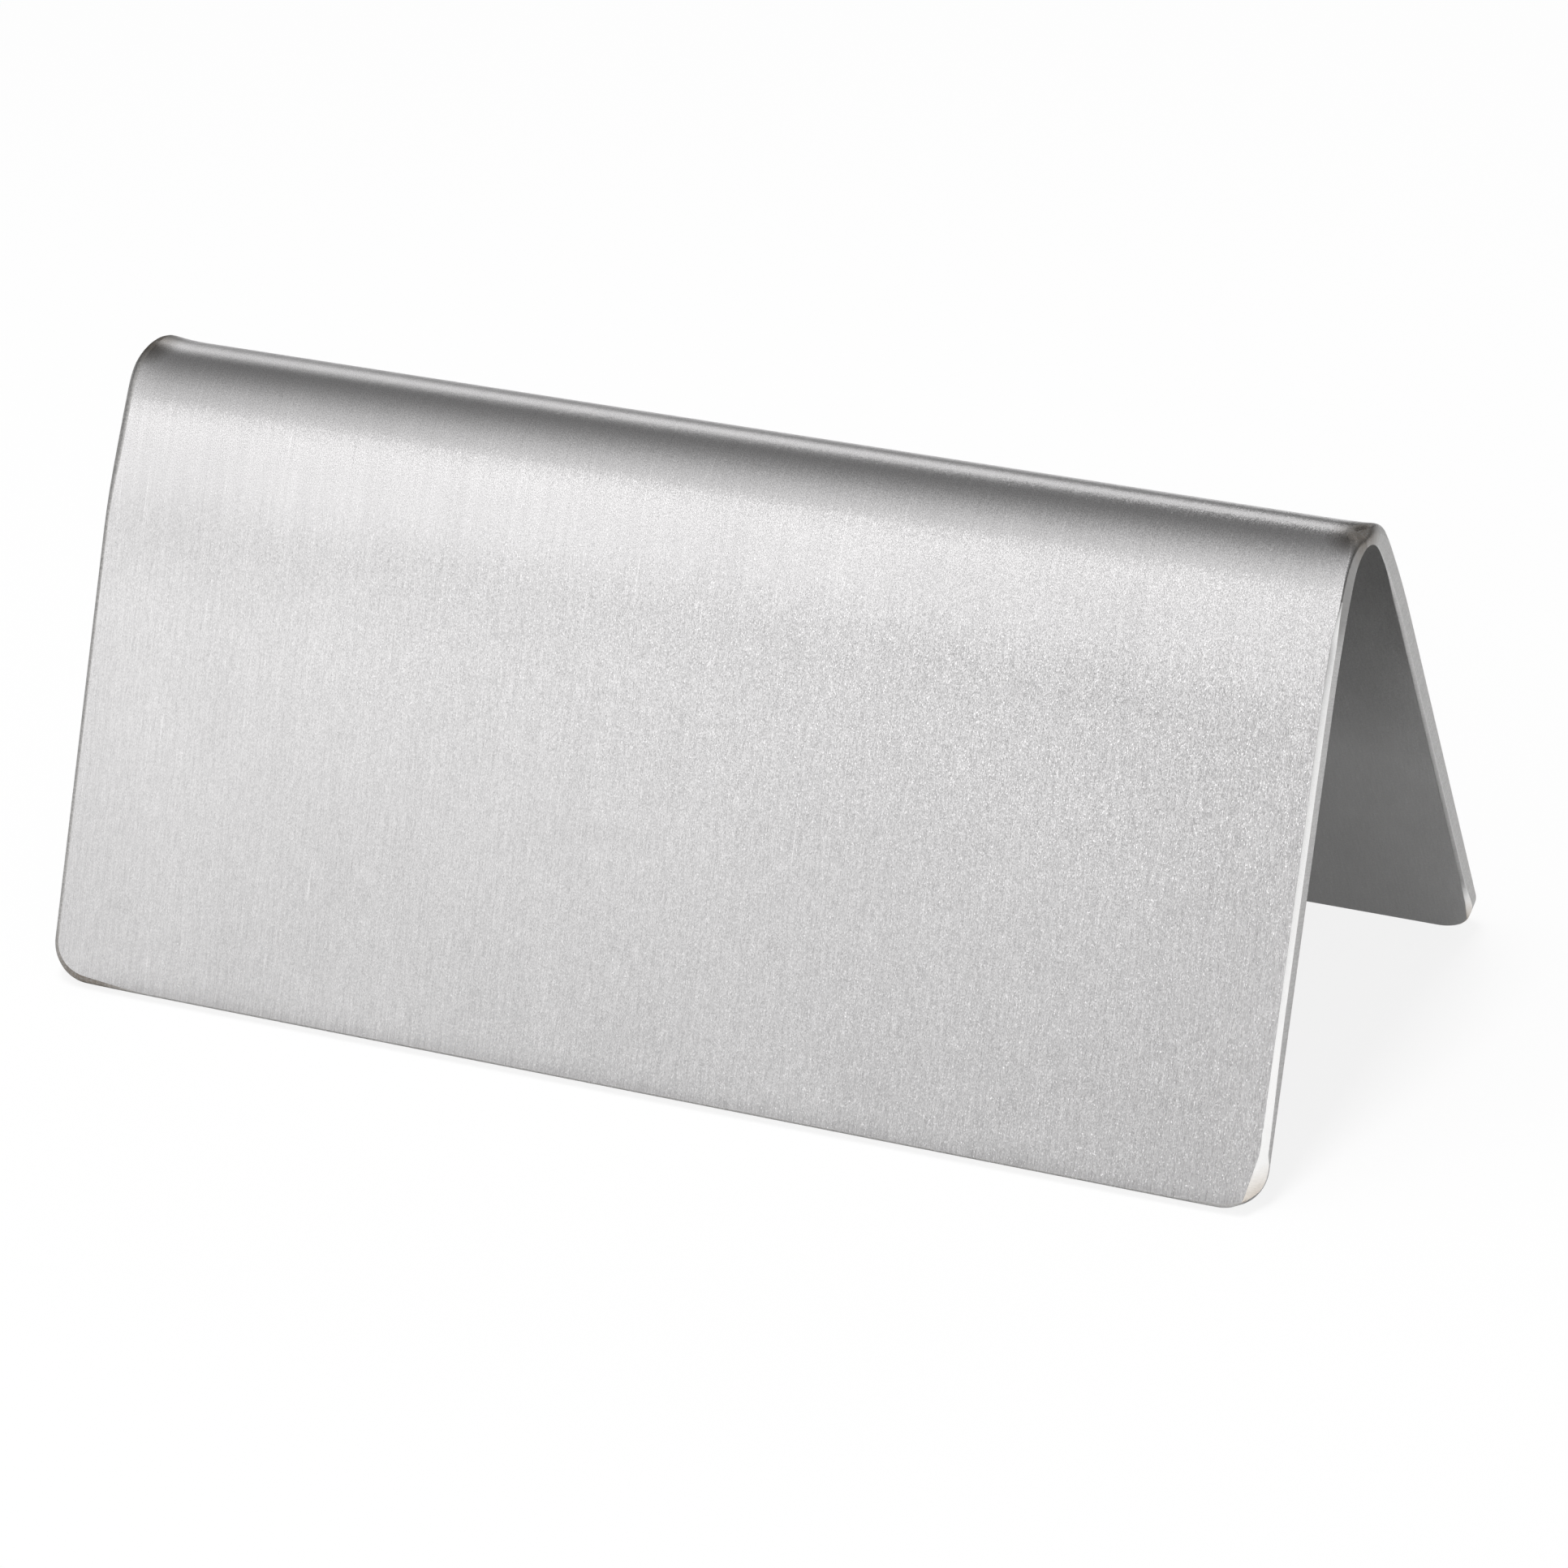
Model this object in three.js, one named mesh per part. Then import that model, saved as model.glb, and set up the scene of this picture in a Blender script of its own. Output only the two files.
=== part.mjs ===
// Blank table sign: one sheet of stainless steel, folded once into a tent.
// Millimetres, Z up. X runs along the fold, the front leg leans out towards -Y, the feet stand on Z = 0.
import * as THREE from "three";
import { mergeVertices } from "three/addons/utils/BufferGeometryUtils.js";

const { clamp, degToRad, lerp } = THREE.MathUtils;

// Sheet
const SIGN_WIDTH = 80;
const SHEET_THICKNESS = 1.5;
const CORNER_RADIUS = 2.5;

// Fold, seen from the end: a tight bend, then a long easing curve, then a flat leg
const LEG_LEAN = degToRad(24); // from upright
const FOLD_INNER_RADIUS = 3;
const EASING_INNER_RADIUS = 55;
const EASING_TURN = degToRad(7);
const LEG_FLAT_LENGTH = 29;

// Bevel ground round the outer edge: how far it reaches over the face and into the thickness.
// It is wider at the two ends of the fold.
const EDGE_BEVEL_FACE = 0.21;
const EDGE_BEVEL_DEPTH = 0.38;
const FOLD_BEVEL_FACE = 0.75;
const FOLD_BEVEL_DEPTH = 0.48;

// Flat ground across each foot corner: its reach up the side, along the foot, and down per unit across
const CORNER_FLAT_HEIGHT = 4.66;
const CORNER_FLAT_WIDTH = 1;
const CORNER_FLAT_SLOPE = 2.2;
const LEAST_END_FACE = 0.1; // of the sheet's thickness, left beside a flat

// Bevel round the inner edge: at the feet it lies level, as the land that the sign stands on
const INNER_BEVEL_DEPTH = 0.25;

// Folding lifts the two ends of the ridge a little
const END_LIFT = 0.14;
const END_LIFT_LENGTH = 3;

// Facets
const FOLD_STEPS = 18; // from the ridge line to each leg
const EASING_STEPS = 4;
const GRIND_STEPS = 4;
const CORNER_STEPS = 7;
const END_STEPS = 5;

// Sizes that follow. Lengths along the sheet are measured halfway through its thickness.
const halfWidth = SIGN_WIDTH / 2;
const foldTurn = Math.PI / 2 - LEG_LEAN - EASING_TURN;
const foldRadius = FOLD_INNER_RADIUS + SHEET_THICKNESS / 2;
const foldLength = foldRadius * foldTurn;
const easingRadius = EASING_INNER_RADIUS + SHEET_THICKNESS / 2;
const easingLength = easingRadius * EASING_TURN;
const legStart = foldLength + easingLength;
const legLength = legStart + LEG_FLAT_LENGTH;
const cornerStart = legLength - CORNER_RADIUS;
const cornerFlatStart = legLength - CORNER_FLAT_HEIGHT;
const cornerFlatFacing = new THREE.Vector2(CORNER_FLAT_HEIGHT, CORNER_FLAT_WIDTH).normalize();
const deepestFlat = SHEET_THICKNESS - INNER_BEVEL_DEPTH - LEAST_END_FACE;
const innerBevelFace = INNER_BEVEL_DEPTH * Math.tan(LEG_LEAN);

// The columns of points across the sheet, as shares of its half width, close together under the lifted ends
function columnShares() {
  const end = [];
  for (let step = 0; step <= END_STEPS; step++) {
    end.push(1 - (END_LIFT_LENGTH * step) / END_STEPS / halfWidth);
  }
  return [...end.map((share) => -share), 0, ...end.toReversed()];
}

// The rows of points on one leg, from the ridge line to the foot: how far along the sheet each row lies,
// and its turn round the corner's arc, which starts at the upright edge
function legRows() {
  const rows = [];
  for (let step = 0; step <= FOLD_STEPS; step++) {
    rows.push({ along: (foldLength * step) / FOLD_STEPS, cornerTurn: 0 });
  }
  for (let step = 1; step <= EASING_STEPS; step++) {
    rows.push({ along: foldLength + (easingLength * step) / EASING_STEPS, cornerTurn: 0 });
  }
  for (let step = 0; step <= GRIND_STEPS; step++) {
    rows.push({ along: lerp(cornerFlatStart, cornerStart, step / GRIND_STEPS), cornerTurn: 0 });
  }
  for (let step = 1; step <= CORNER_STEPS; step++) {
    rows.push({ along: cornerStart, cornerTurn: ((Math.PI / 2) * step) / CORNER_STEPS });
  }
  return rows;
}

// How much of the fold a row shares in: 1 on the ridge line and 0 past the bend
function foldShare(row) {
  return (1 - Math.min(row.along / foldLength, 1)) ** 2;
}

// The flat at a foot corner is straight, so it is deepest where the rounded outline stands out most
function cornerFlat(row) {
  const facing = new THREE.Vector2(Math.cos(row.cornerTurn), Math.sin(row.cornerTurn));
  const onOutline = facing.clone().multiplyScalar(CORNER_RADIUS);
  onOutline.add({ x: -CORNER_RADIUS, y: row.along - cornerFlatStart });
  const cut = onOutline.dot(cornerFlatFacing);
  return { face: cut / facing.dot(cornerFlatFacing), depth: Math.min(cut * CORNER_FLAT_SLOPE, deepestFlat) };
}

// The layers of points through the thickness, from the inner face to the outer one:
// their height over the inner face and how far they lie inside the blank's outline
function layersAt(row) {
  const atFold = foldShare(row);
  const flat = cornerFlat(row);
  const bevelFace = Math.max(lerp(EDGE_BEVEL_FACE, FOLD_BEVEL_FACE, atFold), flat.face);
  const bevelDepth = Math.max(lerp(EDGE_BEVEL_DEPTH, FOLD_BEVEL_DEPTH, atFold), flat.depth);
  return [
    { height: 0, inset: innerBevelFace },
    { height: INNER_BEVEL_DEPTH, inset: 0 },
    { height: SHEET_THICKNESS - bevelDepth, inset: 0 },
    { height: SHEET_THICKNESS, inset: bevelFace },
  ];
}

// A point of the folded sheet, with the fold's centre line on the X axis
function foldedPoint(x, along, height, side) {
  const bent = Math.min(along / foldRadius, foldTurn);
  const turn = bent + clamp((along - foldLength) / easingRadius, 0, EASING_TURN);
  const flat = Math.max(along - legStart, 0);
  const easingOffset = FOLD_INNER_RADIUS - EASING_INNER_RADIUS; // between the centres of the two curves
  const radius = EASING_INNER_RADIUS + height;
  const out = easingOffset * Math.sin(bent) + radius * Math.sin(turn) + flat * Math.cos(turn);
  const up = easingOffset * Math.cos(bent) + radius * Math.cos(turn) - flat * Math.sin(turn);
  return new THREE.Vector3(x, side * out, up);
}

function endLift(row, fromEnd) {
  return END_LIFT * foldShare(row) * (1 - Math.min(fromEnd / END_LIFT_LENGTH, 1)) ** 2;
}

// The sheet starts as a box of unit cells, and each of its points moves to its place on the folded sheet
function foldedSheet() {
  const columns = columnShares();
  const leg = legRows().map((row) => ({ ...row, layers: layersAt(row) }));
  const frontRows = leg.slice(1).toReversed().map((row) => ({ ...row, side: -1 }));
  const rearRows = leg.map((row) => ({ ...row, side: 1 }));
  const rows = [...frontRows, ...rearRows];
  const cells = [columns.length - 1, rows.length - 1, leg[0].layers.length - 1];
  const geometry = new THREE.BoxGeometry(...cells, ...cells);
  geometry.deleteAttribute("normal");
  geometry.deleteAttribute("uv");
  const points = geometry.getAttribute("position");
  for (let i = 0; i < points.count; i++) {
    const share = columns[Math.round(points.getX(i) + cells[0] / 2)];
    const row = rows[Math.round(points.getY(i) + cells[1] / 2)];
    const layer = row.layers[Math.round(points.getZ(i) + cells[2] / 2)];
    const cornerReach = CORNER_RADIUS - layer.inset;
    const edge = halfWidth - CORNER_RADIUS + cornerReach * Math.cos(row.cornerTurn);
    const along = row.along + cornerReach * Math.sin(row.cornerTurn);
    const lift = endLift(row, edge * (1 - Math.abs(share)));
    points.setXYZ(i, ...foldedPoint(edge * share, along, layer.height + lift, row.side));
  }
  const sheet = mergeVertices(geometry);
  sheet.computeBoundingBox();
  sheet.translate(0, 0, -sheet.boundingBox.min.z);
  sheet.computeVertexNormals();
  return sheet;
}

const brushedSteel = new THREE.MeshStandardMaterial({ color: 0xc8c7c8, roughness: 0.38, metalness: 1 });

const foldedSign = new THREE.Mesh(foldedSheet(), brushedSteel);
foldedSign.name = "folded_sheet";

const tableSign = new THREE.Group();
tableSign.add(foldedSign);

export default tableSign;
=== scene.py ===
import math

import bpy
import numpy as np
from mathutils import Matrix, Vector


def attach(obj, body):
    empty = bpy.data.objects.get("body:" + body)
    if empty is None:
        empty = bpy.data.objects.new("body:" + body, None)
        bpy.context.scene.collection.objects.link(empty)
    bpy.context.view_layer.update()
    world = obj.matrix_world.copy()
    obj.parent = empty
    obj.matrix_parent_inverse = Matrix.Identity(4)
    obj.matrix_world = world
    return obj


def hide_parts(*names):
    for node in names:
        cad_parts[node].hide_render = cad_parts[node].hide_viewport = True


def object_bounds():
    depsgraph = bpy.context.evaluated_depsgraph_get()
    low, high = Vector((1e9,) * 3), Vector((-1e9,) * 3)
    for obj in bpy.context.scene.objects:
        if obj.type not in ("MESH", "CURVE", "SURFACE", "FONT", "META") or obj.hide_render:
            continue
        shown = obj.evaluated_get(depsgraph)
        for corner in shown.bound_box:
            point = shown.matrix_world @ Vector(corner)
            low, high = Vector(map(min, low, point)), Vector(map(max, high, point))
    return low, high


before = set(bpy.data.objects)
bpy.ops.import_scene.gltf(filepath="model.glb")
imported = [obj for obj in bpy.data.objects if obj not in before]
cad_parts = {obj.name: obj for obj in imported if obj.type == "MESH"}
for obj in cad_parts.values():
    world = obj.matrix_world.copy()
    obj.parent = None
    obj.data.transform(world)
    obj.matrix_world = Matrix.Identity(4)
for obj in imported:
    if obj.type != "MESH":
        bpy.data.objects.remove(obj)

cad_low, cad_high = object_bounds()
MM = 0.001

# Sheet and fold, the same as in the solid
SIGN_WIDTH = cad_high.x - cad_low.x
SHEET_THICKNESS = 1.5 * MM
CORNER_RADIUS = 2.5 * MM
LEG_LEAN = math.radians(24)  # from upright
FOLD_INNER_RADIUS = 3 * MM
EASING_INNER_RADIUS = 55 * MM
EASING_TURN = math.radians(7)
LEG_FLAT_LENGTH = 29 * MM

# Folding thins the sheet in the bend, and lifts the two ends of the ridge a little
FOLD_FADE = 1.3 * MM  # half the length over which the bend opens out into the easing curve
RIDGE_SHARE = 1 / 3  # of the bend, counted as the ridge
BEND_THINNING = 0.36 * MM
END_LIFT_LEFT = 0.33 * MM
END_LIFT_RIGHT = 0.11 * MM
END_LIFT_LENGTH = 3 * MM

# The outer face rolls off a little towards the foot
FOOT_ROLL = 0.035 * MM
FOOT_ROLL_REACH = 0.8 * MM

# Outer edges: how far each finish reaches over the face and into the thickness
GROUND_BEVEL = (0.21 * MM, 0.38 * MM)  # right side
BEND_BEVEL = (0.04 * MM, 0.08 * MM)  # right side, from the bend to the ground bevel
FOLD_BEVEL = (0.92 * MM, 0.75 * MM)  # right end of the ridge
ROLLED_EDGE = (0.25 * MM, 0.45 * MM)  # left side
ROLLED_BEND = (0.5 * MM, 0.8 * MM)  # left side, at the bend
FOOT_EDGE = (0.15 * MM, 0.3 * MM)
FOOT_END = (0.32 * MM, 0.4 * MM)  # the foot's edge at its two ends
FOOT_END_FULL = 1.25 * MM  # in from the sign's side, as far as that end is whole
FOOT_END_REACH = 5 * MM  # and as far as it fades out
FOOT_TURN_RIGHT = math.radians(40)  # how far the foot's edge carries on round the corner
FOOT_TURN_LEFT = math.radians(70)
FOLD_BEVEL_TURN = math.radians(12)  # how far round the bend the fold's bevel has half its reach
GROUND_START = 0.4 * MM  # along the sheet from the end of the tight bend
GROUND_GROWTH = 2.8 * MM  # length over which the ground bevel opens
GROUND_SHOWS = 0.02  # share of that growth from which the bevel is bright
GROUND_LOW_DEPTH = 0.82 * MM  # of the ground bevel near the front foot
GROUND_LOW_REACH = (3 * MM, 12 * MM)  # up the leg, from all of that depth to none
ROLLED_REACH = 8 * MM  # below the bend, over which the left edge narrows
CRISP_ROUND = 0.012 * MM
ROLLED_ROUND = 0.35 * MM

# Inner edges, in the same way
INNER_EDGE = (0.04 * MM, 0.05 * MM)  # left side
INNER_BEVEL = (0.23 * MM, 0.08 * MM)  # right side
INNER_BEND = (0.04 * MM, 0.06 * MM)  # right side, in the bend
INNER_GROWTH = 5 * MM  # length below the bend over which the right side's inner edge opens
INNER_SHOWS = 0.1  # share of that growth from which it is bright
INNER_LAND_DEPTH = 0.25 * MM  # at the feet
INNER_ROUND = 0.03 * MM

# Flats ground across two right-hand foot corners, outside at the front and inside at the rear:
# reach up the side, reach in from the side, depth for each unit across
OUTER_FLAT = (4.66 * MM, 1.0 * MM, 3.2)
INNER_FLAT = (5.4 * MM, 0.5 * MM, 1.2)
DEEPEST_FLAT = 1.2 * MM
LEAST_FACING = 0.3  # keeps a flat's reach finite where the outline turns away from it

# Raggedness of the ground bevel near the foot
RAGGEDNESS = 0.03 * MM  # either way, in how far the bevel reaches over the face
RAGGED_REACH = (5 * MM, 7 * MM)  # up the leg, from all of it to none
RAGGED_SEED = 11

# Mesh steps
FOLD_STEPS = 30
EASING_STEPS = 16
FLAT_STEPS = 22
GRIND_STEPS = 44
GRIND_REACH = 7 * MM  # above the corner, where the steps are close together
CORNER_STEPS = 18
FOOT_END_STEPS = 20
FOOT_MIDDLE_STEPS = 31
ROUND_STEPS = 3  # in each rounding of the edge
MOST_TRIM = 0.45  # share of a flank that one rounding may take up
BORDER_STEPS = 5
BORDER = 1.7 * MM  # width of the strip of face that is meshed along the edge
BORDER_CROWDING = 4  # power that draws the strip's steps towards the edge
CURVE_POINTS = 4001  # along a leg, for adding up its turn

# Sizes that follow. Lengths along the sheet are measured halfway through its thickness.
half_width = SIGN_WIDTH / 2
fold_turn = math.pi / 2 - LEG_LEAN - EASING_TURN
fold_radius = FOLD_INNER_RADIUS + SHEET_THICKNESS / 2
fold_length = fold_radius * fold_turn
easing_radius = EASING_INNER_RADIUS + SHEET_THICKNESS / 2
easing_length = easing_radius * EASING_TURN
leg_start = fold_length + easing_length
leg_length = leg_start + LEG_FLAT_LENGTH
corner_start = leg_length - CORNER_RADIUS
foot_half = half_width - CORNER_RADIUS

SHEET_MAP = "sheet"
FACE, INSIDE, GROUND, SHEARED, ROLLED = range(5)  # the sign's materials, in order


def smoothstep(value, low, high):
    """A smooth rise from 0 at low to 1 at high."""
    share = np.clip((value - low) / (high - low), 0, 1)
    return share * share * (3 - 2 * share)


def lerp(start, end, share):
    """The value that far from start to end."""
    return start + (end - start) * share


# Sheet: the blank lies flat in (across, along), with the front leg at negative along, and is then folded

def summed_along(steps, values):
    """The running integral of values over their steps."""
    slices = (values[1:] + values[:-1]) / 2 * np.diff(steps)
    return np.concatenate([[0], np.cumsum(slices)])


def leg_curve():
    """The middle of the sheet from the ridge to the foot: lengths along it, turns, reaches out and drops."""
    along = np.linspace(0, leg_length, CURVE_POINTS)
    tightness = 1 - smoothstep(along, fold_length - FOLD_FADE, fold_length + FOLD_FADE)
    easing = 1 - smoothstep(along, leg_start - FOLD_FADE, leg_start + FOLD_FADE)
    turn = summed_along(along, lerp(easing / easing_radius, 1 / fold_radius, tightness))
    turn = turn * (math.pi / 2 - LEG_LEAN) / turn[-1]
    return along, turn, summed_along(along, np.cos(turn)), summed_along(along, np.sin(turn))


def folded(across, along, height):
    """Points of the folded sheet, with height measured from the inner face."""
    reach = np.abs(along)
    lengths, turns, outs, drops = leg_curve()
    turn = np.interp(reach, lengths, turns)
    at_ridge = 1 - smoothstep(reach, fold_length * RIDGE_SHARE, fold_length)
    from_end = half_width - np.abs(across)
    most_lift = np.where(across < 0, END_LIFT_LEFT, END_LIFT_RIGHT)
    lift = most_lift * at_ridge * (1 - np.minimum(from_end / END_LIFT_LENGTH, 1)) ** 2
    roll = FOOT_ROLL * np.clip(1 - (leg_length - reach) / FOOT_ROLL_REACH, 0, 1) ** 2
    thinned = BEND_THINNING * (1 - smoothstep(reach, 0, fold_length))
    through = lerp(thinned, SHEET_THICKNESS - roll, height / SHEET_THICKNESS)
    over = through + lift - SHEET_THICKNESS / 2
    out = np.interp(reach, lengths, outs) + over * np.sin(turn)
    up = over * np.cos(turn) - np.interp(reach, lengths, drops)
    return np.stack([across, np.sign(along) * out, up], -1)


def side_steps():
    """Where the rows of points lie along an upright side, between the two corners."""
    leg = np.concatenate([
        np.linspace(0, fold_length, FOLD_STEPS + 1),
        np.linspace(fold_length, leg_start, EASING_STEPS + 1)[1:],
        np.linspace(leg_start, corner_start - GRIND_REACH, FLAT_STEPS + 1)[1:],
        np.linspace(corner_start - GRIND_REACH, corner_start, GRIND_STEPS + 1)[1:],
    ])
    return np.concatenate([-leg[:0:-1], leg])


def foot_steps():
    """Where the columns of points lie along a foot, between the two corners."""
    inner = foot_half - FOOT_END_REACH
    return np.concatenate([
        np.linspace(-foot_half, -inner, FOOT_END_STEPS + 1),
        np.linspace(-inner, inner, FOOT_MIDDLE_STEPS + 1)[1:],
        np.linspace(inner, foot_half, FOOT_END_STEPS + 1)[1:],
    ])


def outline():
    """The blank's outline, anticlockwise from the left end of the front foot: points and outward normals."""
    foot = foot_steps()[:-1]
    side = side_steps()[:-1]
    quarter = np.linspace(0, math.pi / 2, CORNER_STEPS + 1)[:-1]
    points = []
    normals = []

    def add_edge(across, along, normal):
        points.append(np.stack(np.broadcast_arrays(across, along), -1))
        normals.append(np.tile(normal, (len(points[-1]), 1)))

    def add_corner(across_sign, along_sign, first_turn):
        normal = np.stack([np.cos(first_turn + quarter), np.sin(first_turn + quarter)], -1)
        centre = np.array([across_sign * foot_half, along_sign * corner_start])
        points.append(centre + CORNER_RADIUS * normal)
        normals.append(normal)

    add_edge(foot, -leg_length, (0, -1))
    add_corner(1, -1, -math.pi / 2)
    add_edge(half_width, side, (1, 0))
    add_corner(1, 1, 0)
    add_edge(-foot, leg_length, (0, 1))
    add_corner(-1, 1, math.pi / 2)
    add_edge(-half_width, -side, (-1, 0))
    add_corner(-1, -1, math.pi)
    return np.concatenate(points), np.concatenate(normals)


def foot_share(points, normals):
    """How far each point's edge is finished like the foot: fully along the foot, less round its corners."""
    corner_turn = np.arccos(np.minimum(np.abs(normals[:, 1]), 1))
    last_turn = np.where(points[:, 0] > 0, FOOT_TURN_RIGHT, FOOT_TURN_LEFT)
    return 1 - np.minimum(corner_turn / last_turn, 1) ** 2


def right_corners(points):
    """Which points lie on the rounding of a right-hand foot corner."""
    return (points[:, 0] > foot_half) & (np.abs(points[:, 1]) > corner_start)


def ground_flat(points, normals, along_sign, flat):
    """How far a flat ground across a right-hand foot corner reaches over the face and into the thickness."""
    up_reach, in_reach, slope = flat
    facing = np.array([up_reach, along_sign * in_reach]) / math.hypot(up_reach, in_reach)
    on_side = np.array([half_width, along_sign * (leg_length - up_reach)])
    cut = np.maximum((points - on_side) @ facing, 0)
    square = np.maximum(normals @ facing, LEAST_FACING)
    here = (points[:, 0] > 0) & (points[:, 1] * along_sign > 0)
    return np.where(here, cut / square, 0), np.where(here, np.minimum(cut * slope, DEEPEST_FLAT), 0)


def outer_edge(points, normals):
    """How far the outer edge's finish reaches over the face and into the thickness, and its material."""
    along = np.abs(points[:, 1])
    on_right = points[:, 0] > 0
    at_front = points[:, 1] < 0
    at_foot = foot_share(points, normals)
    by_flat = right_corners(points) & at_front
    turn = np.minimum(along / fold_radius, fold_turn)
    at_fold = 1 / (1 + (turn / FOLD_BEVEL_TURN) ** 2)
    # Behind the ridge line the fold's bevel stays deep further round the bend
    at_bend = np.where(at_front, at_fold, 1 - smoothstep(turn, fold_turn * RIDGE_SHARE, fold_turn))
    foot_end = 1 - smoothstep(half_width - np.abs(points[:, 0]), FOOT_END_FULL, FOOT_END_REACH)
    ground = smoothstep(along - fold_length - GROUND_START, 0, GROUND_GROWTH)
    started = np.where(at_front, ground, 1 - at_bend)
    narrowed = smoothstep(along - fold_length, 0, ROLLED_REACH)
    sizes = []
    for axis, fold_part in enumerate((at_fold, at_bend)):
        right = lerp(lerp(BEND_BEVEL[axis], GROUND_BEVEL[axis], started), FOLD_BEVEL[axis], fold_part)
        left = lerp(ROLLED_BEND[axis], ROLLED_EDGE[axis], narrowed)
        side = np.where(by_flat, BEND_BEVEL[axis], np.where(on_right, right, left))
        foot = lerp(FOOT_EDGE[axis], FOOT_END[axis], foot_end)
        sizes.append(lerp(side, foot, at_foot))
    face, depth = sizes
    deeper = 1 - smoothstep(leg_length - along, *GROUND_LOW_REACH)
    front_side = on_right & at_front & (at_foot == 0)
    depth = np.where(front_side, lerp(depth, GROUND_LOW_DEPTH, deeper), depth)
    kind = np.where(on_right, np.where(ground > GROUND_SHOWS, GROUND, SHEARED), ROLLED)
    kind = np.where(at_foot > 0, ROLLED, kind)

    ragged = np.random.default_rng(RAGGED_SEED).uniform(-1, 1, len(points))
    ragged = (np.roll(ragged, 1) + ragged + np.roll(ragged, -1)) / 3
    near_foot = 1 - smoothstep(leg_length - along, *RAGGED_REACH)
    face = face + RAGGEDNESS * near_foot * (kind == GROUND) * ragged

    flat_face, flat_depth = ground_flat(points, normals, -1, OUTER_FLAT)
    wider = (flat_face > face) | ((flat_face > 0) & by_flat)
    deepest = np.maximum(np.where(by_flat, 0, depth), flat_depth)
    return np.where(wider, flat_face, face), np.where(wider, deepest, depth), np.where(wider, GROUND, kind)


def inner_edge(points, normals):
    """The same for the inner edge, which at the feet is the level land that the sign stands on."""
    on_right = points[:, 0] > 0
    at_rear = points[:, 1] >= 0
    at_foot = foot_share(points, normals)
    grown = smoothstep(np.abs(points[:, 1]) - fold_length, 0, INNER_GROWTH)
    bevelled = on_right & ~(right_corners(points) & at_rear)
    land = (INNER_LAND_DEPTH * math.tan(LEG_LEAN), INNER_LAND_DEPTH)
    flat = ground_flat(points, normals, 1, INNER_FLAT)
    sizes = []
    for axis in range(2):
        right = lerp(INNER_BEND[axis], INNER_BEVEL[axis], grown)
        side = np.where(bevelled, right, INNER_EDGE[axis])
        sizes.append(np.maximum(lerp(side, land[axis], at_foot), flat[axis]))
    kind = np.where(on_right & (grown > INNER_SHOWS) & (at_foot == 0), GROUND, SHEARED)
    return *sizes, kind


def rounded(before, corner, after, radius):
    """The points of the rounding at a corner of the edge's profile."""
    back = before - corner
    ahead = after - corner
    back_length = np.linalg.norm(back, axis=1)
    ahead_length = np.linalg.norm(ahead, axis=1)
    trim = np.minimum(radius, MOST_TRIM * np.minimum(back_length, ahead_length))
    start = corner + back * (trim / back_length)[:, None]
    end = corner + ahead * (trim / ahead_length)[:, None]
    shares = np.linspace(0, 1, ROUND_STEPS + 1)
    return [(1 - share) ** 2 * start + 2 * share * (1 - share) * corner + share**2 * end for share in shares]


def edge_profile(points, normals):
    """The rings of points round the edge, from the inner face to the outer one, as insets and heights."""
    face, depth, kind = outer_edge(points, normals)
    inner_face, inner_depth, inner_kind = inner_edge(points, normals)
    zero = np.zeros(len(points))
    top = zero + SHEET_THICKNESS
    corners = [
        (inner_face + CORNER_RADIUS, zero),
        (inner_face, zero),
        (zero, inner_depth),
        (zero, top - depth),
        (face, top),
        (face + CORNER_RADIUS, top),
    ]
    corners = [np.stack(corner, -1) for corner in corners]
    rolled = smoothstep(-points[:, 0], foot_half - FOOT_END_REACH, half_width)
    at_fold = 1 - smoothstep(np.abs(points[:, 1]), 0, fold_length)
    outer_round = lerp(CRISP_ROUND, ROLLED_ROUND, np.maximum(rolled, at_fold))
    rounds = [INNER_ROUND, INNER_ROUND, outer_round, outer_round]
    rings = []
    for before, corner, after, radius in zip(corners, corners[1:], corners[2:], rounds):
        rings += rounded(before, corner, after, radius)
    shares = np.linspace(0, 1, BORDER_STEPS + 1)[1:] ** BORDER_CROWDING
    inner_border = [lerp(rings[0], [BORDER, 0], share) for share in shares[::-1]]
    outer_border = [lerp(rings[-1], [BORDER, SHEET_THICKNESS], share) for share in shares]
    return inner_border + rings + outer_border, kind, inner_kind


def filled(edge, columns, rows):
    """The grid of points inside a closed edge: straight between opposite sides, and true to all four."""
    front = edge[:columns + 1]
    right = edge[columns:columns + rows + 1]
    rear = edge[columns + rows:2 * columns + rows + 1][::-1]
    left = np.concatenate([edge[2 * columns + rows:], edge[:1]])[::-1]
    share_x = (foot_steps() / foot_half / 2 + 0.5)[None, :, None]
    share_y = np.linspace(0, 1, rows + 1)[:, None, None]
    between_sides = lerp(left[:, None], right[:, None], share_x)
    between_feet = lerp(front[None], rear[None], share_y)
    between_corners = lerp(lerp(front[0], front[-1], share_x), lerp(rear[0], rear[-1], share_x), share_y)
    return between_sides + between_feet - between_corners


def grid_numbers(ring, first, columns, rows):
    """The vertex numbers of such a grid, whose rim is a ring of vertices that exists already."""
    numbers = np.zeros((rows + 1, columns + 1), int)
    numbers[0] = ring[:columns + 1]
    numbers[:, -1] = ring[columns:columns + rows + 1]
    numbers[-1] = ring[columns + rows:2 * columns + rows + 1][::-1]
    numbers[:, 0] = np.append(ring[2 * columns + rows:], ring[0])[::-1]
    inside = (rows - 1) * (columns - 1)
    numbers[1:-1, 1:-1] = first + np.arange(inside).reshape(rows - 1, columns - 1)
    return numbers


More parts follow.
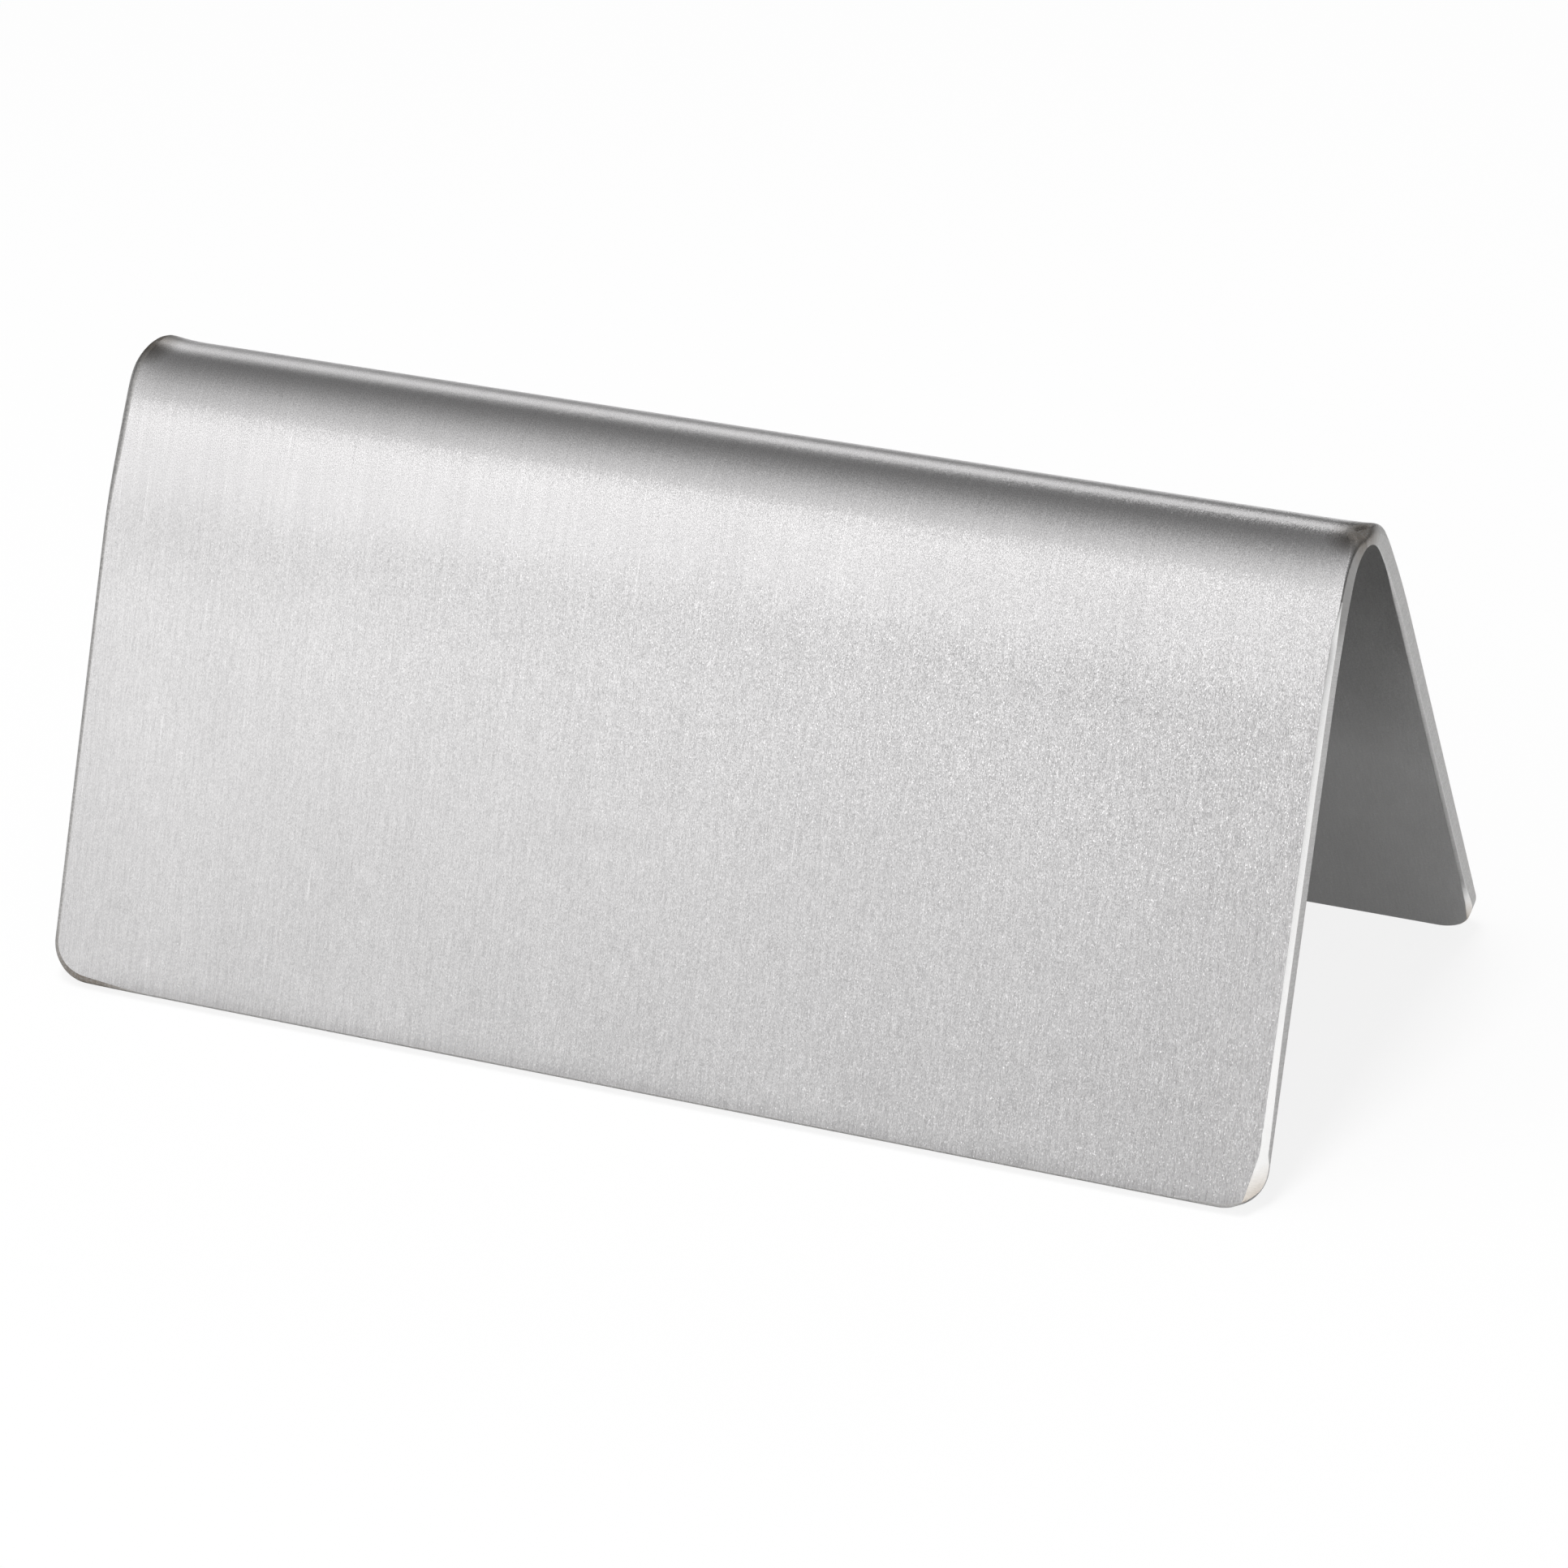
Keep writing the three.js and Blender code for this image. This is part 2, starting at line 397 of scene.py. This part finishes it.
def quads(numbers):
    """The faces between neighbouring points of a grid."""
    corners = [numbers[:-1, :-1], numbers[:-1, 1:], numbers[1:, 1:], numbers[1:, :-1]]
    return np.stack(corners, -1).reshape(-1, 4)


def edge_map(points, rings):
    """Where each corner of the edge's faces lies on the map: along the outline, and up the thickness."""
    steps = np.linalg.norm(np.roll(points, -1, 0) - points, axis=1)
    travelled = np.concatenate([[0], np.cumsum(steps)])
    climbs = np.linalg.norm(np.diff(np.array(rings), axis=0), axis=2).cumsum(0)
    climbs = np.concatenate([np.zeros((1, len(points))), climbs])
    climbs = np.column_stack([climbs, climbs[:, 0]])
    around = np.stack([np.broadcast_to(travelled, climbs.shape), climbs], -1).reshape(-1, 2)
    return around[quads(np.arange(len(around)).reshape(climbs.shape)).ravel()]


def edge_finish(edge_kind, inner_kind):
    """The material of each of the edge's faces, from the inner face to the outer one."""
    bevel_rings = 2 * ROUND_STEPS + 1
    # Over a sheared edge the last rounding has the face's finish
    outer_rounding = np.where(edge_kind == SHEARED, FACE, edge_kind)
    return np.concatenate([
        np.tile(inner_kind, bevel_rings),
        np.full(len(edge_kind), SHEARED),
        np.tile(edge_kind, bevel_rings - ROUND_STEPS),
        np.tile(outer_rounding, ROUND_STEPS),
    ])


def sheet_mesh():
    """The folded sheet as one closed mesh, with a map of its surface in sign widths."""
    points, normals = outline()
    rings, edge_kind, inner_kind = edge_profile(points, normals)
    count = len(points)
    columns = len(foot_steps()) - 1
    rows = count // 2 - columns
    inside = (rows - 1) * (columns - 1)
    blank = [np.column_stack([points - normals * ring[:, :1], ring[:, 1]]) for ring in rings]
    vertices = np.concatenate([
        *blank,
        filled(blank[0], columns, rows)[1:-1, 1:-1].reshape(-1, 3),
        filled(blank[-1], columns, rows)[1:-1, 1:-1].reshape(-1, 3),
    ])

    ring_numbers = np.arange(len(rings) * count).reshape(len(rings), count)
    wrapped = np.column_stack([ring_numbers, ring_numbers[:, 0]])
    edge_faces = quads(wrapped[BORDER_STEPS:-BORDER_STEPS])
    inner_faces = np.concatenate([
        quads(wrapped[:BORDER_STEPS + 1]),
        quads(grid_numbers(ring_numbers[0], ring_numbers.size, columns, rows))[:, ::-1],
    ])
    outer_faces = np.concatenate([
        quads(wrapped[-BORDER_STEPS - 1:]),
        quads(grid_numbers(ring_numbers[-1], ring_numbers.size + inside, columns, rows)),
    ])
    flat_faces = np.concatenate([inner_faces, outer_faces])
    faces = np.concatenate([edge_faces, flat_faces])
    edge_places = edge_map(points, rings[BORDER_STEPS:-BORDER_STEPS])
    surface_map = np.concatenate([edge_places, vertices[flat_faces.ravel(), :2]]) / SIGN_WIDTH
    finish = np.concatenate([
        edge_finish(edge_kind, inner_kind),
        np.full(len(inner_faces), INSIDE),
        np.full(len(outer_faces), FACE),
    ])

    placed = folded(*vertices.T)
    placed[:, 2] -= placed[:, 2].min()
    mesh = bpy.data.meshes.new("folded_sheet_steel")
    mesh.from_pydata(placed.tolist(), [], faces.tolist())
    mesh.uv_layers.new(name=SHEET_MAP).uv.foreach_set("vector", surface_map.astype(np.float32).ravel())
    mesh.polygons.foreach_set("material_index", finish.astype(np.int32))
    mesh.polygons.foreach_set("use_smooth", np.ones(len(faces), bool))
    mesh.update()
    return mesh


# Shader nodes

def node(tree, kind, inputs=None, **settings):
    """Adds a shader node; an input is a value or another node's output."""
    made = tree.nodes.new("ShaderNode" + kind)
    for name, value in settings.items():
        setattr(made, name, value)
    for key, value in (inputs or {}).items():
        if isinstance(value, bpy.types.NodeSocket):
            tree.links.new(value, made.inputs[key])
        else:
            made.inputs[key].default_value = value
    return made


def number_math(tree, operation, *values):
    """The result of an operation on numbers."""
    return node(tree, "Math", dict(enumerate(values)), operation=operation).outputs["Value"]


def vector_math(tree, operation, *vectors):
    """The result of an operation on vectors: for a distance or a dot product a number, or else a vector."""
    made = node(tree, "VectorMath", dict(enumerate(vectors)), operation=operation)
    return made.outputs["Value" if operation in ("DISTANCE", "DOT_PRODUCT") else "Vector"]


def summed(tree, *values):
    """All the values added up."""
    total, *others = values
    for value in others:
        total = number_math(tree, "ADD", total, value)
    return total


def product(tree, *values):
    """All the values multiplied together."""
    total, *others = values
    for value in others:
        total = number_math(tree, "MULTIPLY", total, value)
    return total


def ranged(tree, value, source, target):
    """A value's range mapped to another one, and held at its ends."""
    return node(tree, "MapRange", dict(enumerate((value, *source, *target)))).outputs["Result"]


def swing(tree, value, spread, most):
    """Noise turned into a change of up to that much either way."""
    return ranged(tree, value, (0.5 - spread, 0.5 + spread), (-most, most))


def blended(tree, share, low, high):
    """A mix of two colours, each of them three numbers or another node's output."""
    ends = [(*end, 1) if isinstance(end, tuple) else end for end in (low, high)]
    return node(tree, "Mix", {0: share, 6: ends[0], 7: ends[1]}, data_type="RGBA").outputs[2]


def place_on_sign(tree):
    """The point that is shaded, in metres from the sign's origin."""
    return node(tree, "TexCoord").outputs["Object"]


def split(tree, place):
    """The X, Y and Z of a place."""
    outputs = node(tree, "SeparateXYZ", {0: place}).outputs
    return outputs["X"], outputs["Y"], outputs["Z"]


def cells(tree, across, along):
    """The sheet's map, scaled to cells of that size in millimetres."""
    surface = node(tree, "UVMap", uv_map=SHEET_MAP).outputs["UV"]
    width = SIGN_WIDTH / MM
    return vector_math(tree, "MULTIPLY", surface, (width / across, width / along, 0))


def noise(tree, across, along, detail):
    """Noise from 0 to 1, in cells of that size in millimetres."""
    inputs = {"Vector": cells(tree, across, along), "Scale": 1.0, "Detail": detail, "Roughness": 0.55}
    return node(tree, "TexNoise", inputs, noise_dimensions="2D").outputs["Fac"]


def flake_normal(tree, across, along, strength, tilt, sparkle_share, sparkle_tilt):
    """The normal, tilted at random in cells and more in a few of them, and each cell's chance."""
    places = {"Vector": cells(tree, across, along), "Scale": 1.0}
    flakes = node(tree, "TexVoronoi", places, voronoi_dimensions="2D").outputs["Color"]
    chance = node(tree, "SeparateColor", {0: flakes}).outputs["Blue"]
    sparkle = number_math(tree, "GREATER_THAN", chance, 1 - sparkle_share)
    lean = product(tree, ranged(tree, sparkle, (0, 1), (tilt, sparkle_tilt)), strength)
    centred = vector_math(tree, "SUBTRACT", flakes, (0.5, 0.5, 0.5))
    leaning = node(tree, "VectorMath", {0: centred, "Scale": lean}, operation="SCALE").outputs["Vector"]
    normal = node(tree, "NewGeometry").outputs["Normal"]
    return vector_math(tree, "NORMALIZE", vector_math(tree, "ADD", normal, leaning)), chance


# Materials. A pair of colours is the dark and the light end of a tone.
FACE_STEEL = ((0.5, 0.493, 0.496), (1.0, 0.987, 0.99))
INSIDE_CLEAN = ((0.47, 0.468, 0.465), (0.7, 0.697, 0.695))
# Painted shade for the inner face up under the fold
INSIDE_SHADED = ((0.12, 0.118, 0.115), (0.28, 0.277, 0.275))
GROUND_CLEAN = ((0.92, 0.915, 0.91), (1.0, 0.995, 0.99))
# Painted warm shade for the ground bevel near the table
GROUND_WARM_SHADE = ((0.5, 0.44, 0.37), (0.9, 0.83, 0.75))
GROUND_PLAIN = ((0.42, 0.417, 0.413), (0.62, 0.616, 0.612))
SHEARED_STEEL = ((0.42, 0.417, 0.413), (0.7, 0.695, 0.69))
ROLLED_STEEL = ((0.38, 0.375, 0.37), (0.68, 0.67, 0.66))
SCORCHED_STEEL = ((0.08, 0.07, 0.06), (0.34, 0.3, 0.26))
# Painted shade for the front of a cut edge in the bend
SHADED_EDGE_STEEL = (0.24, 0.235, 0.23)

FACE_TONE = 0.375  # of the outer face before its marks
FACE_SCORCH = 0.9  # how brown the outer face gets
TONE_SPREAD = (0.3, 0.7)  # of the ground bevel and the raw edges before their marks
NOISE_MIDDLE = (0.25, 0.75)  # where noise mostly lies

# Heights between which the finish, and the painted light and shade, change
FLAKES_COARSEN = (14 * MM, 29 * MM)
FLAKES_FADE = (33.4 * MM, 35.3 * MM)
FLECKS_GROW = (28 * MM, 32 * MM)
STREAKS_FADE = (24 * MM, 31 * MM)
# Painted light and shade on the face, lighter on the left and darker on the right, fading up the bend
SIDE_SHADE_FADES = (22 * MM, 28 * MM)
# Painted shade on the face from these heights up
FACE_PAINTED_SHADE = (22 * MM, 26 * MM)
# Painted light on the face in the bend
BEND_PAINTED_LIGHT = (31 * MM, 33.5 * MM)
# Painted shade over the front of the ridge, dimming its highlight towards the right end
RIDGE_SHADE_RISES = (34.2 * MM, 35.2 * MM)
# Painted shade on the inner face, rising between these heights
INSIDE_SHADE_RISES = (15 * MM, 30 * MM)
# Painted warm shade on the ground bevel, from all of it to none
GROUND_WARM_SHADE_ENDS = (0.9 * MM, 3.0 * MM)
REAR_GRINDING_ENDS = (2.6 * MM, 4.6 * MM)
# Painted shade on the front of a cut edge, rising between these heights
CUT_EDGE_SHADE_RISES = (29.8 * MM, 31.2 * MM)

# The same from left to right, and from front to back
WHOLE_WIDTH = (-half_width, half_width)
RIGHT_HALF = (0, half_width)
RIDGE_FRONT = (-1.2 * MM, 0.2 * MM)

# Heat has browned the two ends of the ridge: all of it up to the first distance, none from the second
SCORCH_REACH = (0.475 * MM, 1.9 * MM)
SCORCH_INSET = 0.4 * MM  # of the browned spot's middle, from the end and from the top
SCORCH_OUT = 0.5 * MM  # and from the ridge line, to the front and to the rear
FOOT_BROWNING_REACH = (1.5 * MM, 4.5 * MM)  # from the left end of the front foot, in the same way


def scorched(tree):
    """How much heat has browned the metal."""
    middle = (half_width - SCORCH_INSET, SCORCH_OUT, cad_high.z - SCORCH_INSET)
    mirrored = vector_math(tree, "ABSOLUTE", place_on_sign(tree))
    return ranged(tree, vector_math(tree, "DISTANCE", mirrored, middle), SCORCH_REACH, (1, 0))


def steel(name, anisotropy):
    """A metal material and its shader's inputs; its highlights spread across the sheet's map."""
    material = bpy.data.materials.new(name)
    material.use_nodes = True
    tree = material.node_tree
    shader = tree.nodes["Principled BSDF"]
    shader.inputs["Metallic"].default_value = 1.0
    shader.inputs["Anisotropic"].default_value = anisotropy
    tangent = node(tree, "Tangent", direction_type="UV_MAP", uv_map=SHEET_MAP)
    tree.links.new(tangent.outputs["Tangent"], shader.inputs["Tangent"])
    return material, tree, shader.inputs


def brushed_face():
    """The outer face: fine upright grain, flakes that glitter most in the upper right, painted glints, and
    painted light and shade.
    """
    material, tree, inputs = steel("brushed_steel", anisotropy=0.85)
    grain = noise(tree, across=0.07, along=1.6, detail=1.0)
    fleck = noise(tree, across=0.05, along=0.07, detail=0.0)
    long_grain = noise(tree, across=0.3, along=14.0, detail=2.0)
    cloud = noise(tree, across=9.0, along=16.0, detail=3.0)
    scratch = noise(tree, across=0.13, along=7.0, detail=1.0)
    x, y, z = split(tree, place_on_sign(tree))
    coarse = product(
        tree,
        ranged(tree, x, WHOLE_WIDTH, (0.4, 0.84)),
        ranged(tree, z, FLAKES_COARSEN, (0.85, 1.5)),
        ranged(tree, z, FLAKES_FADE, (1.0, 0.45)),
    )
    normal, chance = flake_normal(
        tree, across=0.036, along=0.075, strength=coarse, tilt=0.17, sparkle_share=0.03, sparkle_tilt=0.3
    )
    # Painted light and shade: lighter on the left and darker on the right, less so up in the bend
    side_shade = product(
        tree,
        ranged(tree, x, WHOLE_WIDTH, (0.11, -0.11)),
        ranged(tree, z, SIDE_SHADE_FADES, (1.0, 0.2)),
    )
    streaks = product(
        tree,
        swing(tree, grain, spread=0.25, most=1.0),
        ranged(tree, z, STREAKS_FADE, (0.16, 0.06)),
    )
    flecks = product(
        tree,
        swing(tree, fleck, spread=0.3, most=0.1),
        ranged(tree, z, FLECKS_GROW, (1.0, 3.0)),
    )
    # Painted glints: a few flake cells brighter in colour, most where the flakes are coarse
    glitter = product(
        tree,
        ranged(tree, chance, (0.955, 0.985), (0.0, 1.0)),
        ranged(tree, coarse, (0.45, 1.5), (0.0, 1.3)),
    )
    # Painted shade: the ridge's highlight dimmed towards its right end
    ridge_shade = product(
        tree,
        ranged(tree, x, RIGHT_HALF, (0.0, -0.26)),
        ranged(tree, y, RIDGE_FRONT, (0.0, 1.0)),
        ranged(tree, z, RIDGE_SHADE_RISES, (0.0, 1.0)),
    )
    tone = summed(
        tree,
        FACE_TONE,
        side_shade,
        streaks,
        flecks,
        swing(tree, long_grain, spread=0.2, most=0.035),
        swing(tree, cloud, spread=0.2, most=0.03),
        glitter,
        # Painted shade higher up the face, and painted light in the bend
        ranged(tree, z, FACE_PAINTED_SHADE, (0.0, -0.06)),
        ranged(tree, z, BEND_PAINTED_LIGHT, (0.0, 0.12)),
        ridge_shade,
        ranged(tree, scratch, (0.74, 0.8), (0.0, 0.2)),
        ranged(tree, scratch, (0.2, 0.26), (-0.12, 0.0)),
    )
    burnt = product(tree, scorched(tree), FACE_SCORCH)
    clean = blended(tree, tone, *FACE_STEEL)
    brown = blended(tree, tone, *SCORCHED_STEEL)
    roughness = summed(
        tree,
        ranged(tree, x, WHOLE_WIDTH, (0.36, 0.28)),
        swing(tree, grain, spread=0.3, most=0.02),
    )
    tree.links.new(blended(tree, burnt, clean, brown), inputs["Base Color"])
    tree.links.new(roughness, inputs["Roughness"])
    tree.links.new(normal, inputs["Normal"])
    return material


def inside_face():
    """The inner face: rougher, with flecks and painted glints, and painted shade up under the fold."""
    material, tree, inputs = steel("inside_steel", anisotropy=0.35)
    grain = noise(tree, across=0.1, along=1.5, detail=3.0)
    fleck = noise(tree, across=0.12, along=0.14, detail=1.0)
    cloud = noise(tree, across=7.0, along=11.0, detail=3.0)
    normal, chance = flake_normal(
        tree, across=0.05, along=0.08, strength=1.0, tilt=0.12, sparkle_share=0.03, sparkle_tilt=0.2
    )
    tone = summed(
        tree,
        swing(tree, grain, spread=0.25, most=0.1),
        swing(tree, fleck, spread=0.3, most=0.12),
        swing(tree, cloud, spread=0.2, most=0.1),
        # Painted glints: a few flake cells brighter in colour
        ranged(tree, chance, (0.97, 1.0), (0.5, 0.9)),
    )
    _, _, z = split(tree, place_on_sign(tree))
    # Painted shade, darker up under the fold
    inside_shade = ranged(tree, z, INSIDE_SHADE_RISES, (0.0, 0.8))
    clean = blended(tree, tone, *INSIDE_CLEAN)
    darkened = blended(tree, tone, *INSIDE_SHADED)
    tree.links.new(blended(tree, inside_shade, clean, darkened), inputs["Base Color"])
    tree.links.new(ranged(tree, cloud, (0.3, 0.7), (0.36, 0.44)), inputs["Roughness"])
    tree.links.new(normal, inputs["Normal"])
    return material


def ground_bevel():
    """The ground bevel: bright, with painted warm beige shade near the table, and plain on the rear leg
    above its flat.
    """
    material, tree, inputs = steel("ground_steel", anisotropy=0.4)
    lines = noise(tree, across=0.07, along=0.6, detail=2.0)
    blotch = noise(tree, across=1.2, along=0.5, detail=2.0)
    tone = summed(
        tree,
        ranged(tree, lines, NOISE_MIDDLE, TONE_SPREAD),
        swing(tree, blotch, spread=0.2, most=0.1),
    )
    _, y, z = split(tree, place_on_sign(tree))
    # Painted warm shade, beige, near the table
    low = ranged(tree, z, GROUND_WARM_SHADE_ENDS, (1.0, 0.0))
    behind = number_math(tree, "GREATER_THAN", y, 0.0)
    unground = product(tree, behind, ranged(tree, z, REAR_GRINDING_ENDS, (0.0, 1.0)))
    clean = blended(tree, tone, *GROUND_CLEAN)
    warm_shade = blended(tree, tone, *GROUND_WARM_SHADE)
    plain = blended(tree, tone, *GROUND_PLAIN)
    tree.links.new(blended(tree, unground, blended(tree, low, clean, warm_shade), plain), inputs["Base Color"])
    tree.links.new(ranged(tree, lines, (0.2, 0.8), (0.14, 0.22)), inputs["Roughness"])
    return material


def raw_edge(name, colours, grazing_shade, scorch, shade):
    """Bare edge metal: brown at the ends of the ridge and near the left end of the front foot, with painted
    shade in the front of the bend.
    """
    material, tree, inputs = steel(name, anisotropy=0.3)
    marks = noise(tree, across=0.09, along=1.2, detail=3.0)
    tear = noise(tree, across=0.16, along=0.12, detail=2.0)
    tone = summed(
        tree,
        ranged(tree, marks, NOISE_MIDDLE, TONE_SPREAD),
        swing(tree, tear, spread=0.2, most=0.25),
    )
    place = place_on_sign(tree)
    foot_end = (-foot_half, cad_low.y, cad_low.z)
    # Browner and darker near the left end of the front foot
    foot_end_browning = ranged(tree, vector_math(tree, "DISTANCE", place, foot_end), FOOT_BROWNING_REACH, (1, 0))
    darkened = summed(tree, scorched(tree), foot_end_browning)
    burnt = product(tree, darkened, ranged(tree, tear, (0.3, 0.6), (scorch / 2, scorch)))
    _, y, z = split(tree, place)
    # Painted shade over the front of the edge in the bend
    front = number_math(tree, "LESS_THAN", y, 0.0)
    front_shade = product(tree, front, ranged(tree, z, CUT_EDGE_SHADE_RISES, (0.0, shade)))
    clean = blended(tree, front_shade, blended(tree, tone, *colours), SHADED_EDGE_STEEL)
    brown = blended(tree, tone, *SCORCHED_STEEL)
    tree.links.new(blended(tree, burnt, clean, brown), inputs["Base Color"])
    tree.links.new(ranged(tree, tear, (0.3, 0.7), (0.38, 0.52)), inputs["Roughness"])
    # Painted shade at grazing angles: the darker edge tint dims the grazing reflection
    inputs["Specular Tint"].default_value = (grazing_shade, grazing_shade, grazing_shade, 1)
    return material


def make_sign():
    """The sign, with its materials in the order that the mesh counts on."""
    sign = bpy.data.objects.new("folded_sign", sheet_mesh())
    bpy.context.scene.collection.objects.link(sign)
    sheared = raw_edge("sheared_steel", SHEARED_STEEL, grazing_shade=0.8, scorch=0.9, shade=0.65)
    rolled = raw_edge("rolled_steel", ROLLED_STEEL, grazing_shade=0.6, scorch=1.0, shade=0.0)
    for material in (brushed_face(), inside_face(), ground_bevel(), sheared, rolled):
        sign.data.materials.append(material)
    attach(sign, "root")
    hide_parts("folded_sheet")


# Floor
FLOOR_HALF = 3.0
FLOOR_COLOUR = (0.9, 0.9, 0.9, 1)
FLOOR_GLOW_SEEN = 0.86
FLOOR_GLOW_REFLECTED = 0.15


def make_floor():
    """A pale floor: part of what the camera sees is a plain white glow, so that the shadow stays faint."""
    mesh = bpy.data.meshes.new("floor")
    half = FLOOR_HALF
    corners = [(-half, -half, 0), (half, -half, 0), (half, half, 0), (-half, half, 0)]
    mesh.from_pydata(corners, [], [(0, 1, 2, 3)])
    floor = bpy.data.objects.new("floor", mesh)
    bpy.context.scene.collection.objects.link(floor)
    material = bpy.data.materials.new("floor")
    material.use_nodes = True
    tree = material.node_tree
    shader = tree.nodes["Principled BSDF"]
    shader.inputs["Base Color"].default_value = FLOOR_COLOUR
    shader.inputs["Roughness"].default_value = 1.0
    shader.inputs["Specular IOR Level"].default_value = 0.0
    glow = node(tree, "Emission", {"Color": (1, 1, 1, 1), "Strength": 1.0}).outputs["Emission"]
    ray = node(tree, "LightPath").outputs
    reflected = summed(tree, ray["Is Glossy Ray"], ray["Is Transmission Ray"])
    share = summed(
        tree,
        product(tree, ray["Is Camera Ray"], FLOOR_GLOW_SEEN),
        product(tree, reflected, FLOOR_GLOW_REFLECTED),
    )
    mixed = node(tree, "MixShader", {0: share, 1: shader.outputs["BSDF"], 2: glow}).outputs["Shader"]
    tree.links.new(mixed, tree.nodes["Material Output"].inputs["Surface"])
    mesh.materials.append(material)


# Light. A place is an azimuth, from the front to the right, and an elevation. A level of 1 is white.
ROOM_LEVEL = 0.17
GLOW_LEVEL = 0.82
GLOW_PLACE = (math.radians(-23), math.radians(41))
GLOW_TIGHTNESS = 7.1
LAMP_DISTANCE = 0.6
FRONT_PLACE = (math.radians(-38), math.radians(22))
FRONT_SIZE = (0.28, 0.225)  # width and height
FRONT_LEVEL = 1.42
FRONT_SHARES = (1.4, 1.15, 0.9, 0.65)  # of that size: panels one behind another, brightest in the middle
PANEL_GAP = 0.004
BACK_PLACE = (math.radians(-177), math.radians(28.8))
BACK_SIZE = (0.9, 0.22)
BACK_LEVEL = 0.92
FLOOR_LAMP_PLACE = (0, math.radians(76))
FLOOR_LAMP_SIZE = (0.12, 0.3)
FLOOR_LAMP_LEVEL = 22.5
SIGN_MIDDLE = Vector((0, 0, (cad_low.z + cad_high.z) / 2))


def towards(azimuth, elevation):
    """The direction of a place."""
    level = math.cos(elevation)
    return Vector((math.sin(azimuth) * level, -math.cos(azimuth) * level, math.sin(elevation)))


def make_world():
    """A dim room with a broad glow from the front left."""
    world = bpy.data.worlds.new("studio")
    bpy.context.scene.world = world
    world.use_nodes = True
    tree = world.node_tree
    direction = node(tree, "TexCoord").outputs["Generated"]
    nearness = vector_math(tree, "DOT_PRODUCT", direction, towards(*GLOW_PLACE))
    glow = number_math(tree, "POWER", ranged(tree, nearness, (-1, 1), (0, 1)), GLOW_TIGHTNESS)
    level = ranged(tree, glow, (0, 1), (ROOM_LEVEL, ROOM_LEVEL + GLOW_LEVEL))
    background = tree.nodes["Background"]
    background.inputs["Color"].default_value = (1, 1, 1, 1)
    tree.links.new(level, background.inputs["Strength"])


def softbox(name, place, width, height, level, distance=LAMP_DISTANCE):
    """A rectangular lamp that faces the sign."""
    lamp = bpy.data.lights.new(name, "AREA")
    lamp.shape = "RECTANGLE"
    lamp.size = width
    lamp.size_y = height
    lamp.energy = level * math.pi * width * height
    away = towards(*place)
    made = bpy.data.objects.new(name, lamp)
    made.location = SIGN_MIDDLE + distance * away
    made.rotation_euler = away.to_track_quat("Z", "Y").to_euler()
    made.visible_camera = False
    bpy.context.scene.collection.objects.link(made)
    return made


def make_lights():
    """The main light at the front left, a strip behind the ridge, and a lamp for the floor."""
    width, height = FRONT_SIZE
    level = FRONT_LEVEL / len(FRONT_SHARES)
    for step, share in enumerate(FRONT_SHARES):
        distance = LAMP_DISTANCE + step * PANEL_GAP
        softbox(f"front_left_{step}", FRONT_PLACE, width * share, height * share, level, distance)
    softbox("back", BACK_PLACE, *BACK_SIZE, BACK_LEVEL)
    over_floor = softbox("over_floor", FLOOR_LAMP_PLACE, *FLOOR_LAMP_SIZE, FLOOR_LAMP_LEVEL)
    over_floor.visible_glossy = False


# Camera, fitted to the photograph's outline
CAMERA_LENS = 162.94  # millimetres, as the sensor is
CAMERA_SENSOR = 36.0
CAMERA_CLIP = (0.01, 20)
CAMERA_DISTANCE = 0.42936
CAMERA_PLACE = (math.radians(26.58581), math.radians(27.95172))
CAMERA_ROLL = math.radians(-3.16378)
AIM_HEIGHT = 15.9 * MM
AIM_RIGHT = 1.9888 * MM
AIM_UP = -3.6456 * MM


def make_camera():
    """The camera at the photograph's place, rolled a little about its line of sight."""
    data = bpy.data.cameras.new("camera")
    data.sensor_width = CAMERA_SENSOR
    data.lens = CAMERA_LENS
    data.clip_start, data.clip_end = CAMERA_CLIP
    back = towards(*CAMERA_PLACE)
    flat_right = Vector((0, 0, 1)).cross(back).normalized()
    flat_up = back.cross(flat_right)
    right = math.cos(CAMERA_ROLL) * flat_right + math.sin(CAMERA_ROLL) * flat_up
    up = back.cross(right)
    aim = Vector((0, 0, AIM_HEIGHT)) + AIM_RIGHT * right + AIM_UP * up
    camera = bpy.data.objects.new("camera", data)
    turn = Matrix((right, up, back)).transposed()
    camera.matrix_world = Matrix.Translation(aim + back * CAMERA_DISTANCE) @ turn.to_4x4()
    bpy.context.scene.collection.objects.link(camera)
    bpy.context.scene.camera = camera


make_sign()
make_floor()
make_world()
make_lights()
make_camera()
bpy.context.scene.view_settings.view_transform = "Standard"
